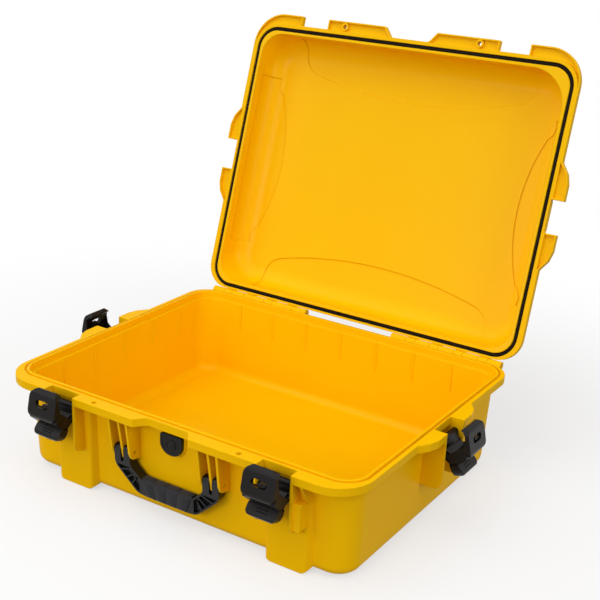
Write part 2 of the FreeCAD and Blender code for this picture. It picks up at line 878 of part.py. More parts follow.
def lid_knuckles():
    """Lid half of the hinge."""
    pieces = []
    for left, right in both_sides(knuckle_spans()[0]):
        block = [(half_y, lid_face + small_radius, 0),
                 (hinge_y - knuckle_radius / 2, lid_face + small_radius, 0),
                 (hinge_y, hinge_z, 0),
                 (hinge_y + knuckle_radius - small_radius, hinge_z + knuckle_radius / 2, small_radius),
                 (hinge_y - knuckle_radius / 2, lid_flange_top, small_radius), (half_y, lid_flange_top, 0)]
        pieces.append(plate_x(block, left, right))
        pieces.append(rod_x(knuckle_radius, left, right, hinge_y, hinge_z))
    return pieces


def lid_flange():
    """Flange of the lid with recessed tabs and a thin rim round them."""
    keep = flange_side - tab_rim
    recess = prism(inset(flange_corners(), tab_rim), lid_face - overrun, lid_face + tab_recess)
    recess = recess.cut(seal_plate(keep, lid_face - 2 * overrun, lid_face + 2 * overrun))
    flange = flange_plate(lid_face, lid_flange_top).cut(recess)
    return joined([flange] + padlock_rods(padlock_radius + padlock_boss, lid_face, lid_flange_top))


def catch_ridges():
    """Ridge in each latch gap that the claw hooks over."""
    profile = [(-side_pocket_depth - ridge_width, lid_flange_top - ridge_height, 0),
               (-side_pocket_depth, lid_flange_top - ridge_height, 0),
               (-side_pocket_depth, lid_flange_top + ridge_height, small_radius),
               (-side_pocket_depth - ridge_width, lid_flange_top + ridge_height, small_radius)]
    ridge = latch_plate(profile, -ridge_length / 2, ridge_length / 2)
    return [placed(ridge, turn, x, y) for name, turn, x, y in latch_places()]


def lid_shell():
    """Moulded upper shell."""
    pads = lens_pads()
    proud = lid_form(-pad_step)
    raised = [proud.common(pad) for pad in pads]
    shell = joined([lid_form(0), lid_flange()] + raised + catch_ridges() + lid_knuckles())
    hollow = lid_form(wall)
    hollow_proud = lid_form(wall - pad_step)
    reach = gasket_width / 2 + gasket_slot_clearance
    cuts = [hollow, moved(hollow, 0, 0, -overrun)] + [hollow_proud.common(pad) for pad in pads]
    cuts.append(ring(-reach, reach, lid_face - overrun, lid_face + lip_rise + gasket_height))
    cuts = cuts + padlock_rods(padlock_radius, lid_face - overrun, lid_flange_top + overrun)
    shell = shell.cut(cuts + hinge_bores() + knuckle_cuts(knuckle_spans()[1]))
    save("lid_shell", opened(shell))


def lid_gasket():
    """Rubber seal in the lid's groove, with a round crown towards the base's lip."""
    low = lid_face + lip_rise
    band = ring(-gasket_width / 2, gasket_width / 2, low, low + gasket_height)
    save("lid_gasket", opened(band.makeFillet(gasket_crown, edges_at(band, "z", low))))


def hinge_pins():
    """Two steel rods, one through each group of knuckles."""
    spans = both_sides([(hinge_slot_half + hinge_pin_setback, hinge_end - hinge_pin_setback)])
    for name, (left, right) in zip(("right", "left"), spans):
        save("hinge_pin_" + name, rod_x(hinge_pin_radius, left, right, hinge_y, hinge_z))


# Latches, built closed in their own frame

def faced(shape, turns):
    """Piece of the claw, turned so that the claw's slanted face stands upright, or back with turns of -1."""
    pivot = V(0, -claw_pivot_out, claw_pivot_height)
    return turned(shape, turns * math.degrees(claw_face_turn), pivot, V(1, 0, 0))


def claw_mask(low, low_radius, front, back):
    """Upright plate that rounds the claw's corners as seen from its slanted face."""
    return plate_y([(-claw_half, low, low_radius), (claw_half, low, low_radius),
                    (claw_half, claw_top, claw_corner_radius), (-claw_half, claw_top, claw_corner_radius)],
                   front, back)


def claw_window():
    """Cutter for the claw's window, through the skin and the pad behind it."""
    opening = panel(window_width / 2, window_bottom, window_bottom + window_height, window_radius)
    return plate_y(opening, -latch_gap, rail - claw_skin_inside)


def claw_rails():
    """Pad behind the claw's skin and the channel along which the slide lock's plate runs."""
    half = window_width / 2 + rail
    inside = -claw_skin_inside
    window_top = window_bottom + window_height
    pad = box(-half, half, inside - rail, inside, window_bottom - 2 * rail, window_top + rail)
    plate_back = inside + 2 * lock_clearance + lock_plate
    low = window_bottom - lock_plate_margin - lock_clearance
    block = box(-half, half, inside - rail, plate_back + rail_lip, low - rail, low)
    lip = box(-half, half, plate_back, plate_back + rail_lip, low - rail, low + lock_plate_margin)
    return [pad, block, lip]


def claw_shape():
    """Claw with its hook, window, side walls and the rails of the slide lock."""
    out, height = claw_pivot_out, claw_pivot_height
    nose_low = hook_height - claw_nose_drop
    body = (scaled(claw_front_shares, claw_length, out, height)
            + [(nose_out, height + claw_nose_share * claw_length, claw_nose_edge_share * claw_length),
               (nose_out, nose_low, claw_nose / 4), (nose_out + claw_nose, nose_low, claw_nose / 6),
               (nose_out + claw_nose, hook_height, claw_nose / 6)]
            + scaled(claw_back_shares, claw_length, out, height))
    side = scaled(claw_side_shares, claw_length, out, height)
    pieces = [latch_plate(body, -claw_half, claw_half)]
    for left in (-claw_half, claw_half - claw_side_wall):
        pieces.append(latch_plate(side, left, left + claw_side_wall))
        pieces.append(rod_x(claw_hub_radius, left, left + claw_side_wall, -out, height))
    bore = rod_x(pin_radius + fit_clearance, -latch_half, latch_half, -out, height)
    claw = faced(joined(pieces).cut(bore), 1)
    skin = claw.common(claw_mask(claw_chin_low, claw_chin_radius, -2 * latch_gap, -claw_skin_inside))
    arms = claw.common(claw_mask(height - latch_gap, 0, -claw_skin_inside, latch_gap))
    pad, block, lip = claw_rails()
    return faced(joined([joined([skin, arms, pad]).cut(claw_window()), block, lip]), -1)


def lock_shape():
    """Slide lock: a button in the claw's window on a plate behind the claw's skin."""
    front = lock_clearance - claw_skin_inside
    button = lock_sink - claw_face_out
    low = window_bottom + lock_clearance
    right = window_width / 2 - lock_clearance - lock_inset
    centre = right - lock_length / 2
    high = low + lock_height
    face = plate_y(panel(lock_length / 2, low, high, lock_height / 2 - touch), button, front)
    face = moved(face.makeFillet(lock_edge, edges_at(face, "y", button)), centre, 0, 0)
    plate = box(centre - lock_length / 2 + rail, right + rail, front, front + lock_plate,
                window_bottom - lock_plate_margin, high - lock_edge)
    return faced(joined([face, plate]), -1)


def lever_shape():
    """Pull lever with its thumb tab and grip ridges."""
    out, height = lever_pivot_out, lever_pivot_height
    hub_half = latch_half - latch_side_clearance
    web = latch_plate(scaled(lever_web_shares, lever_drop, out, height), -lever_half, lever_half)
    tab = scaled(lever_tab_shares, lever_drop, out, height)
    split = height - lever_shoulder_share * lever_drop
    neck = latch_plate(tab, -lever_half, lever_half)
    neck = neck.common(box(-latch_half, latch_half, -latch_gap, latch_gap, split - lever_hub_radius, height))
    wide = lever_tab_width / 2
    blade = latch_plate(tab, -wide, wide)
    bottom = height - lever_drop
    side_low = bottom + lever_tip_rise
    mask = plate_y([(-wide, side_low, lever_tab_radius), (-lever_tip_half, bottom, lever_tip_radius),
                    (lever_tip_half, bottom, lever_tip_radius), (wide, side_low, lever_tab_radius),
                    (wide, split, tab_corner_radius), (-wide, split, tab_corner_radius)],
                   -latch_gap, latch_gap)
    pieces = [rod_x(lever_hub_radius, -hub_half, hub_half, -out, height),
              rod_x(claw_hub_radius, -lever_half, lever_half, -claw_pivot_out, claw_pivot_height),
              web, neck, blade.common(mask)]
    (low_out, low_share), (high_out, high_share) = lever_ridge_shares
    for i in range(lever_ridge_count):
        step = i / (lever_ridge_count - 1)
        ridge_out = out + lever_drop * (low_out + step * (high_out - low_out))
        ridge_z = height + lever_drop * (low_share + step * (high_share - low_share))
        pieces.append(rod_x(lever_ridge_radius, -lever_ridge_half, lever_ridge_half, -ridge_out, ridge_z))
    bore = pin_radius + fit_clearance
    return joined(pieces).cut([rod_x(bore, -latch_half, latch_half, -out, height),
                               rod_x(bore, -latch_half, latch_half, -claw_pivot_out, claw_pivot_height)])


def latches():
    """Four latches, shown as they hang when the case is open."""
    lever_pivot = V(0, -lever_pivot_out, lever_pivot_height)
    claw_pivot = V(0, -claw_pivot_out, claw_pivot_height)
    along = V(1, 0, 0)
    rib_reach = latch_half + latch_rib
    pieces = {"claw_": turned(claw_shape(), claw_open_angle, claw_pivot, along),
              "slide_lock_": turned(lock_shape(), claw_open_angle, claw_pivot, along),
              "lever_": lever_shape(),
              "claw_pin_": rod_x(pin_radius, -claw_half, claw_half, claw_pivot.y, claw_pivot.z),
              "lever_pin_": rod_x(pin_radius, -rib_reach, rib_reach, lever_pivot.y, lever_pivot.z)}
    for name, turn, x, y in latch_places():
        for kind, shape in pieces.items():
            save(kind + name, placed(turned(shape, -lever_open_angle, lever_pivot, along), turn, x, y))


# Handle

def leaned(shape):
    """Piece of the handle, hanging against the wall."""
    return turned(shape, handle_lean, V(0, handle_pivot_y, handle_pivot_height), V(1, 0, 0))


def handle_outline(out, inn, low, top):
    """Outline of the handle's bow as (x, z, radius)."""
    grip_top = low + handle_grip_height
    right = []
    for across, up, radius in handle_outer_shares[::-1]:
        right.append((across * out, low + up * handle_drop, radius * handle_drop))
    right = right + [(out, top, handle_end_radius), (inn, top, handle_end_radius),
                     (inn, low + handle_inner_share * handle_drop, handle_inner_radius),
                     (handle_grip_half, grip_top, handle_grip_inner_radius)]
    return right + [(-x, z, radius) for x, z, radius in right[::-1]]


def spring_length():
    """Length along the pin of one return spring with its clearance."""
    return spring_pitch * spring_turns + 2 * spring_wire_radius + 2 * spring_clearance


def handle_spring(start):
    """Coil of round wire about the handle's pin."""
    helix = Part.makeHelix(spring_pitch, spring_pitch * spring_turns, spring_radius)
    section = Part.Wire(Part.makeCircle(spring_wire_radius, V(spring_radius, 0, 0), V(0, 1, 0)))
    coil = Part.Wire(helix.Edges).makePipeShell([section], True, True)
    coil.rotate(V(0, 0, 0), V(0, 1, 0), 90)
    return moved(coil, start + spring_wire_radius + spring_clearance, handle_pivot_y, handle_pivot_height)


def arm_pockets(bow, inn, low, front, back):
    """Pockets in one face of the handle's arms, crossed by slanting ribs."""
    pocket = plate_y(inset(counter_clockwise(bow), handle_pocket_wall), front, back)
    side_reach = 2 * handle_rib_offset
    field = box(-side_reach, side_reach, front, back, low, handle_pivot_height - handle_pocket_top)
    block = handle_grip_half + handle_pocket_wall
    keep = [box(-block, block, front, back, low, handle_pivot_height)]
    bar = box(-handle_slot_depth, handle_slot_depth, front, back, -handle_cross_rib / 2, handle_cross_rib / 2)
    for side in (-1, 1):
        for i in range(handle_cross_ribs):
            tilted = turned(bar, side * handle_cross_tilt * (i + 1), V(0, 0, 0), V(0, 1, 0))
            across = inn + handle_cross_step - i * handle_cross_step / 2
            keep.append(moved(tilted, side * across, 0,
                              handle_pivot_height - handle_slot_depth - (i + 1) * handle_cross_step))
    return pocket.common(field).cut(keep)


def handle():
    """Moulded handle with forked arms, its soft grip and its pins."""
    front = handle_pivot_y - handle_thickness / 2
    back = handle_pivot_y + handle_thickness / 2
    reach = handle_rib_pitch - handle_rib / 2 - handle_side_clearance
    out = handle_rib_offset + reach
    inn = handle_rib_offset - reach
    low = handle_pivot_height - handle_drop
    top = handle_pivot_height + handle_top
    grip_top = low + handle_grip_height
    bow = handle_outline(out, inn, low, top)
    rounded = plate_x([(front, low - overrun, 0), (back, low - overrun, 0), (back, top, handle_top_radius),
                       (front, top, handle_top_radius)], -out, out)
    frame = plate_y(bow, front, back).common(rounded)
    slot_half = handle_rib / 2 + handle_side_clearance
    slot_low = handle_pivot_height - handle_slot_depth
    cuts = []
    for side in (-1, 1):
        centre = side * handle_rib_offset
        cuts.append(plate_y([(centre - slot_half, slot_low, slot_half - touch),
                             (centre + slot_half, slot_low, slot_half - touch),
                             (centre + slot_half, top + overrun, 0), (centre - slot_half, top + overrun, 0)],
                            front - overrun, back + overrun))
    cuts.append(arm_pockets(bow, inn, low, front - overrun, front + handle_pocket_depth))
    cuts.append(arm_pockets(bow, inn, low, back - handle_pocket_depth, back + overrun))
    grip_low_half = handle_grip_half - handle_grip_taper
    grip_sides = [(-grip_low_half, low - overrun, 0), (grip_low_half, low - overrun, 0),
                  (handle_grip_half, grip_top + overrun, 0), (-handle_grip_half, grip_top + overrun, 0)]
    core = plate_y(panel(handle_grip_half, low + handle_core, grip_top - handle_core, handle_core_radius),
                   front + handle_core, back - handle_core)
    cuts.append(plate_y(grip_sides, front - overrun, back + overrun).cut(core))
    cuts = cuts + handle_pin_rods(pin_radius + fit_clearance, handle_rib_pitch)
    recess = spring_radius + spring_wire_radius + spring_clearance
    for side in (-1, 1):
        near = handle_rib_offset + slot_half
        left, right = sorted((side * near, side * (near + spring_length())))
        cuts.append(rod_x(recess, left, right, handle_pivot_y, handle_pivot_height))
    frame = frame.cut(cuts)
    extra = handle_grip_extra
    corners = [(front - extra, low - extra), (back + extra, low - extra),
               (back + extra, grip_top + extra), (front - extra, grip_top + extra)]
    section = plate_x([(y, z, handle_grip_radius) for y, z in corners], -out, out)
    sleeve = plate_y(inset(grip_sides, fit_clearance), front - overrun, back + overrun)
    grip = section.common(sleeve).cut(core)
    save("handle_frame", leaned(frame))
    save("handle_grip", leaned(grip))
    for name, pin in zip(("left", "right"), handle_pin_rods(pin_radius, handle_rib_pitch + handle_rib / 2)):
        save("handle_pin_" + name, pin)
    coil = handle_spring(handle_rib_offset + slot_half)
    save("handle_spring_left", mirrored_x(coil))
    save("handle_spring_right", coil)


# Valve

def valve():
    """Automatic pressure valve in the front wall."""
    z = valve_centre_height
    front = valve_face - valve_cover_depth
    cover = plate_y(valve_outline(0), front, valve_face)
    cover = cover.makeFillet(small_radius, edges_at(cover, "y", front))
    room_radius = valve_flange_radius + valve_cover_clearance
    room = rod_y(room_radius, front + valve_cover_skin, valve_face + overrun, 0, z)
    save("valve_cover", cover.cut(room))
    end = valve_back + valve_nut + small_radius
    seat_radius = valve_stem_radius - valve_stem_wall
    seat_end = valve_face - valve_flange + valve_seat_wall
    ring_y = valve_face - valve_ring_radius
    ring_circle = valve_stem_radius + valve_ring_offset
    body = rod_y(valve_flange_radius, valve_face - valve_flange, valve_face, 0, z)
    body = body.fuse(rod_y(valve_stem_radius, valve_face, end, 0, z)).removeSplitter()
    groove = Part.makeTorus(ring_circle, valve_ring_radius + fit_clearance, V(0, ring_y, z), V(0, 1, 0))
    seat = rod_y(seat_radius, valve_face - valve_flange - overrun, seat_end, 0, z)
    passage = rod_y(seat_radius - valve_stem_wall, valve_face - overrun, end + overrun, 0, z)
    save("valve_body", body.cut([groove, seat, passage]))
    save("valve_ring", Part.makeTorus(ring_circle, valve_ring_radius, V(0, ring_y, z), V(0, 1, 0)))
    save("valve_membrane", rod_y(seat_radius - fit_clearance, seat_end - valve_membrane, seat_end, 0, z))
    corners = []
    for i in range(valve_nut_sides):
        angle = 2 * math.pi * i / valve_nut_sides
        x = valve_nut_radius * math.cos(angle)
        corners.append((x, z + valve_nut_radius * math.sin(angle), small_radius))
    bore = rod_y(valve_stem_radius + fit_clearance, valve_back - overrun, end + overrun, 0, z)
    save("valve_nut", plate_y(corners, valve_back, valve_back + valve_nut).cut(bore))


base_shell()
lid_shell()
lid_gasket()
hinge_pins()
latches()
handle()
valve()
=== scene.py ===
"""Dressed model of a moulded yellow hard case, standing open, with black latches and a handle.

Sizes are written in millimetres and turned to metres where a mesh or a pattern is made. The
studio's sizes are in metres, its lamps in watts, and all angles in degrees.
"""

import json
import logging
import math
from abc import ABC, abstractmethod
from dataclasses import dataclass
from enum import Enum
from typing import Any, Optional, Sequence

import bmesh
import bpy
from mathutils import Matrix, Vector

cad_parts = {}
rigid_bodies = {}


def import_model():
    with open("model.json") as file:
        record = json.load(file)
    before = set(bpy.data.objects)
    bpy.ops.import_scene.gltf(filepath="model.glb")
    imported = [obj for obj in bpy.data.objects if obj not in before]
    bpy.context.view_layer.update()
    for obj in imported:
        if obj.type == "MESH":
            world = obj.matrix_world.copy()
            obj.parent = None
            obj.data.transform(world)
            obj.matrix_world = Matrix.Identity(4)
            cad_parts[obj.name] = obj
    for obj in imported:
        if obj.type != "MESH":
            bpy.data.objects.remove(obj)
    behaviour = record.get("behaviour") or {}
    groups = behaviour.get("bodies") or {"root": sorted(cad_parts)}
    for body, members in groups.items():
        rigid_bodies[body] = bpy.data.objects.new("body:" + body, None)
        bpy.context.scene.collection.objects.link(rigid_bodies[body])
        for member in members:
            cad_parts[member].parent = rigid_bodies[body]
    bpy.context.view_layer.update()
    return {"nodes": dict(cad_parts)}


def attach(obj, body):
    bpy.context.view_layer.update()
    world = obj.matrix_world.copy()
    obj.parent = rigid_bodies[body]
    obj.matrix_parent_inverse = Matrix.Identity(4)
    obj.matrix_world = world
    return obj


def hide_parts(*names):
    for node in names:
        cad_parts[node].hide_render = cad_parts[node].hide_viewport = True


LOG = logging.getLogger("hard_case")
MM = 0.001
AXIS_X = Vector((1.0, 0.0, 0.0))
WHITE = (1.0, 1.0, 1.0, 1.0)
SIDES = ("left", "right")

# The colour mixing node has sockets of the same name for each data type, so these go by number.
MIX_FIRST = 6
MIX_SECOND = 7
MIX_RESULT = 2

# The sRGB curve: straight up to the knee, and a power of the lifted value above it.
SRGB_KNEE = 0.04045
SRGB_SLOPE = 12.92
SRGB_LIFT = 0.055
SRGB_POWER = 2.4

Colour = tuple[float, float, float, float]
Point2 = tuple[float, float]
Point3 = tuple[float, float, float]
SocketKey = str | int


def linear(hex_colour: str) -> Colour:
    """Turn an sRGB hex colour into the linear values that a shader takes.

    Args:
        hex_colour: Six hex digits after a hash sign.

    Returns:
        Linear red, green and blue, and an alpha of one.
    """
    channels = []
    for level in bytes.fromhex(hex_colour[1:]):
        value = level / 255
        if value <= SRGB_KNEE:
            channels.append(value / SRGB_SLOPE)
        else:
            channels.append(((value + SRGB_LIFT) / (1 + SRGB_LIFT)) ** SRGB_POWER)
    return (channels[0], channels[1], channels[2], 1.0)


def add_node(tree: bpy.types.NodeTree, kind: str, values: Optional[dict[SocketKey, Any]] = None,
             links: Optional[dict[SocketKey, bpy.types.NodeSocket]] = None,
             **settings: Any) -> bpy.types.Node:
    """Add one node with its settings and links.

    Args:
        tree: Node tree that gets the node.
        kind: Blender's name of the node type.
        values: Input name or number to the value set on it.
        links: Input name or number to the output socket that feeds it.
        settings: Properties of the node itself.

    Returns:
        The new node.
    """
    node = tree.nodes.new(kind)
    for key, value in settings.items():
        setattr(node, key, value)
    for key, value in (values or {}).items():
        node.inputs[key].default_value = value
    for key, source in (links or {}).items():
        tree.links.new(source, node.inputs[key])
    return node


def empty_material(name: str) -> tuple[bpy.types.Material, bpy.types.NodeTree]:
    """Make a node material with no nodes in it.

    Args:
        name: Name of the material.

    Returns:
        The material and its node tree.
    """
    material = bpy.data.materials.new(name)
    material.use_nodes = True
    material.node_tree.nodes.clear()
    return material, material.node_tree


@dataclass(frozen=True)
class Finish(ABC):
    """A surface finish, which becomes one Blender material.

    The roughness varies by its spread to both sides.
    """

    name: str
    colour: str
    roughness: float
    roughness_spread: float

    @abstractmethod
    def shade(self, tree: bpy.types.NodeTree) -> bpy.types.NodeSocket:
        """Add the nodes of the finish.

        Args:
            tree: Node tree that gets the nodes.

        Returns:
            The shader's output socket.
        """

    def material(self) -> bpy.types.Material:
        """Give the finish as a Blender material, made once.

        Returns:
            The material.
        """
        if self.name not in bpy.data.materials:
            _, tree = empty_material(self.name)
            add_node(tree, "ShaderNodeOutputMaterial", links={"Surface": self.shade(tree)})
        return bpy.data.materials[self.name]


@dataclass(frozen=True)
class MouldedFinish(Finish):
    """A moulded plastic or rubber surface, with its grain, its sink waves and its softened edges.

    Sizes end in _mm. The grain is the pattern of the mould's surface, drawn coarser than the real
    one so that it shows, and the waves are the slow hollows that a thick moulding gets as it
    cools. The colour drifts to the second one and back over a wave.
    """

    second_colour: str
    ior: float
    specular: float
    grain_mm: float
    grain_depth_mm: float
    wave_mm: float
    wave_depth_mm: float
    edge_mm: float
    edge_samples: int = 6
    grain_detail: float = 2.0
    wave_detail: float = 1.0
    sheen: float = 0.0

    def shade(self, tree: bpy.types.NodeTree) -> bpy.types.NodeSocket:
        """Add the nodes of the moulded surface.

        Args:
            tree: Node tree that gets the nodes.

        Returns:
            The shader's output socket.
        """
        place = add_node(tree, "ShaderNodeTexCoord").outputs["Object"]
        wave = add_node(tree, "ShaderNodeTexNoise",
                        {"Scale": 1 / (self.wave_mm * MM), "Detail": self.wave_detail},
                        {"Vector": place})
        grain = add_node(tree, "ShaderNodeTexNoise",
                         {"Scale": 1 / (self.grain_mm * MM), "Detail": self.grain_detail},
                         {"Vector": place})
        tint = add_node(tree, "ShaderNodeMix", links={"Factor": wave.outputs["Fac"]},
                        data_type="RGBA")
        tint.inputs[MIX_FIRST].default_value = linear(self.colour)
        tint.inputs[MIX_SECOND].default_value = linear(self.second_colour)
        rough = add_node(tree, "ShaderNodeMapRange",
                         {"To Min": self.roughness - self.roughness_spread,
                          "To Max": self.roughness + self.roughness_spread},
                         {"Value": grain.outputs["Fac"]})
        rounded = add_node(tree, "ShaderNodeBevel", {"Radius": self.edge_mm * MM},
                           samples=self.edge_samples)
        sunk = add_node(tree, "ShaderNodeBump",
                        {"Strength": 1.0, "Distance": self.wave_depth_mm * MM},
                        {"Height": wave.outputs["Fac"], "Normal": rounded.outputs["Normal"]})
        bumped = add_node(tree, "ShaderNodeBump",
                          {"Strength": 1.0, "Distance": self.grain_depth_mm * MM},
                          {"Height": grain.outputs["Fac"], "Normal": sunk.outputs["Normal"]})
        shader = add_node(tree, "ShaderNodeBsdfPrincipled",
                          {"IOR": self.ior, "Specular IOR Level": self.specular,
                           "Sheen Weight": self.sheen},
                          {"Base Color": tint.outputs[MIX_RESULT],
                           "Roughness": rough.outputs["Result"],
                           "Normal": bumped.outputs["Normal"]})
        return shader.outputs["BSDF"]


@dataclass(frozen=True)
class DrawnSteelFinish(Finish):
    """Bright drawn steel rod, with fine lines along its length.

    The lines are a noise stretched by the scales in along, where the smallest is the rod's axis.
    """

    line_mm: float
    line_depth_mm: float
    along: Point3
    line_detail: float = 2.0

    def shade(self, tree: bpy.types.NodeTree) -> bpy.types.NodeSocket:
        """Add the nodes of the drawn surface.

        Args:
            tree: Node tree that gets the nodes.

        Returns:
            The shader's output socket.
        """
        place = add_node(tree, "ShaderNodeTexCoord").outputs["Object"]
        stretched = add_node(tree, "ShaderNodeMapping", {"Scale": self.along}, {"Vector": place})
        lines = add_node(tree, "ShaderNodeTexNoise",
                         {"Scale": 1 / (self.line_mm * MM), "Detail": self.line_detail},
                         {"Vector": stretched.outputs["Vector"]})
        rough = add_node(tree, "ShaderNodeMapRange",
                         {"To Min": self.roughness - self.roughness_spread,
                          "To Max": self.roughness + self.roughness_spread},
                         {"Value": lines.outputs["Fac"]})
        bumped = add_node(tree, "ShaderNodeBump",
                          {"Strength": 1.0, "Distance": self.line_depth_mm * MM},
                          {"Height": lines.outputs["Fac"]})
        shader = add_node(tree, "ShaderNodeBsdfPrincipled",
                          {"Base Color": linear(self.colour), "Metallic": 1.0},
                          {"Roughness": rough.outputs["Result"],
                           "Normal": bumped.outputs["Normal"]})
        return shader.outputs["BSDF"]


# Polypropylene copolymer, injection moulded in a lightly sparked tool: deep warm yellow, satin.
SHELL_OUTSIDE = MouldedFinish(
    name="polypropylene_sparked", colour="#FBC200", second_colour="#F8BE00",
    roughness=0.46, roughness_spread=0.05, ior=1.5, specular=0.05,
    grain_mm=1.6, grain_depth_mm=0.012, wave_mm=70.0, wave_depth_mm=0.10, edge_mm=1.0)
# The same moulding inside, from a polished core: smoother, so it takes long soft reflections.
# Its yellow is a touch lighter and greener than the outside's. That is painted light for the
# hollow, not the resin's own colour.
SHELL_INSIDE_PAINTED_LIGHTER = MouldedFinish(
    name="polypropylene_polished", colour="#FCC400", second_colour="#FAC000",
    roughness=0.30, roughness_spread=0.04, ior=1.5, specular=0.08,
    grain_mm=2.2, grain_depth_mm=0.006, wave_mm=90.0, wave_depth_mm=0.12, edge_mm=2.5)
# Glass-filled nylon, injection moulded: near black with a brown cast, satin with a fine grain.
LATCH_NYLON = MouldedFinish(
    name="glass_filled_nylon", colour="#0C0908", second_colour="#110D0B",
    roughness=0.36, roughness_spread=0.07, ior=1.53, specular=0.16,
    grain_mm=1.1, grain_depth_mm=0.02, wave_mm=25.0, wave_depth_mm=0.05, edge_mm=0.5)
# The same resin from a polished tool, for the handle: glossier, with a shallower grain.
HANDLE_NYLON = MouldedFinish(
    name="nylon_polished", colour="#0B0A0B", second_colour="#100F10",
    roughness=0.27, roughness_spread=0.06, ior=1.53, specular=0.28,
    grain_mm=1.1, grain_depth_mm=0.012, wave_mm=25.0, wave_depth_mm=0.05, edge_mm=0.6)
# Thermoplastic elastomer moulded over the handle: dark grey and matt, with an even grain.
GRIP_ELASTOMER = MouldedFinish(
    name="thermoplastic_elastomer", colour="#242427", second_colour="#2A2A2D",
    roughness=0.66, roughness_spread=0.08, ior=1.5, specular=0.18,
    grain_mm=1.4, grain_depth_mm=0.05, wave_mm=18.0, wave_depth_mm=0.08, edge_mm=0.6,
    sheen=0.08)
# Extruded chloroprene cord: brown black and nearly matt, with a soft light on its crown.
SEAL_CHLOROPRENE = MouldedFinish(
    name="chloroprene_extruded", colour="#150D04", second_colour="#1B1106",
    roughness=0.55, roughness_spread=0.06, ior=1.5, specular=0.12,
    grain_mm=1.0, grain_depth_mm=0.015, wave_mm=30.0, wave_depth_mm=0.04, edge_mm=0.3)
# Cold drawn stainless rod: bright, with lines drawn coarser than the real ones, so that they show.
PIN_STEEL = DrawnSteelFinish(
    name="stainless_drawn", colour="#B9B6B0", roughness=0.26, roughness_spread=0.13,
    line_mm=0.8, line_depth_mm=0.006, along=(0.05, 1.0, 1.0))


class Facing(Enum):
    """Side of a shell that a face lies on, as the number of its material."""

    OUTSIDE = 0
    INSIDE = 1


@dataclass(frozen=True)
class CaseSizes:
    """Sizes that the dressing shares with the solids: x to the right, y to the back, z up."""

    seal_half_x: float = 288.0
    seal_half_y: float = 228.3
    seal_radius: float = 34.0
    lid_face: float = 152.8
    wall_x: float = 284.0
    wall_y: float = 224.3
    wall: float = 4.0
    hinge_y: float = 242.0
    hinge_z: float = 150.0
    open_angle: float = 107.0
    handle_y: float = -235.5
    handle_z: float = 91.0
    handle_lean: float = 4.0
    valve_z: float = 118.0
    valve_face: float = -225.3


CASE = CaseSizes()


def turn_about(angle: float, y: float, z: float) -> Matrix:
    """Give the turn about an axis along X through a point.

    Args:
        angle: Angle in degrees.
        y: The point's place from front to back in millimetres.
        z: The point's height above the floor in millimetres.

    Returns:
        The matrix, for points in millimetres.
    """
    pivot = Vector((0.0, y, z))
    turn = Matrix.Rotation(math.radians(angle), 4, AXIS_X)
    return Matrix.Translation(pivot) @ turn @ Matrix.Translation(-pivot)


def lid_opened() -> Matrix:
    """Matrix from the closed lid to the lid as it stands open."""
    return turn_about(-CASE.open_angle, CASE.hinge_y, CASE.hinge_z)


def handle_leaned() -> Matrix:
    """Matrix from the upright handle to the handle as it hangs."""
    return turn_about(CASE.handle_lean, CASE.handle_y, CASE.handle_z)


@dataclass(frozen=True)
class Lamp:
    """An oblong area lamp: where it stands and points to, its size, and its power."""

    name: str
    place: Point3
    target: Point3
    wide: float
    high: float
    power: float

    def hang(self) -> None:
        """Put the lamp in the scene."""
        data = bpy.data.lights.new(self.name, "AREA")
        data.shape = "RECTANGLE"
        data.size = self.wide
        data.size_y = self.high
        data.energy = self.power
        lamp = bpy.data.objects.new(self.name, data)
        lamp.location = self.place
        toward = Vector(self.target) - Vector(self.place)
        lamp.rotation_euler = toward.to_track_quat("-Z", "Y").to_euler()
        bpy.context.scene.collection.objects.link(lamp)


